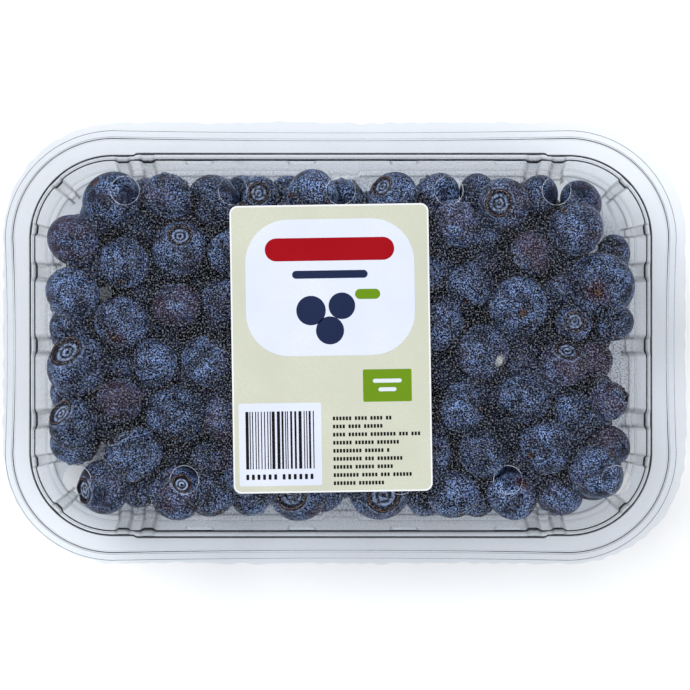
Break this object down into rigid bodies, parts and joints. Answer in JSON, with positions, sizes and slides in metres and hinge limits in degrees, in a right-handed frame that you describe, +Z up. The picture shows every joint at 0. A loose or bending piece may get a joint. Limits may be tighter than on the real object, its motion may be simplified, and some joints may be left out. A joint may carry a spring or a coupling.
{
  "type": "punnet of blueberries",
  "caption": "Clear rectangular tray with ribbed walls and a flat sealing rim, filled with blueberries under a clear film with round vent holes and a plain paper label.",
  "frame": {"origin": "middle of the tray's flat underside", "axes": "+X along the tray, +Y across it towards the label's upper edge, +Z up out of the tray"},
  "size_m": [0.1903, 0.1232, 0.0362],
  "materials": {
    "clear_tray": "clear thermoformed plastic with a faint cool tint, glossy",
    "berry_skin": "dark navy skin under a mottled pale blue waxy bloom",
    "clear_film": "thin clear film, glossy, faintly creased at the edges",
    "label_paper": "coated paper, pale sage ground with flat printed fields"
  },
  "bodies": {
    "root": {"tray": "clear_tray", "berries": "berry_skin", "lid_film": "clear_film", "label": "label_paper"}
  },
  "joints": []
}
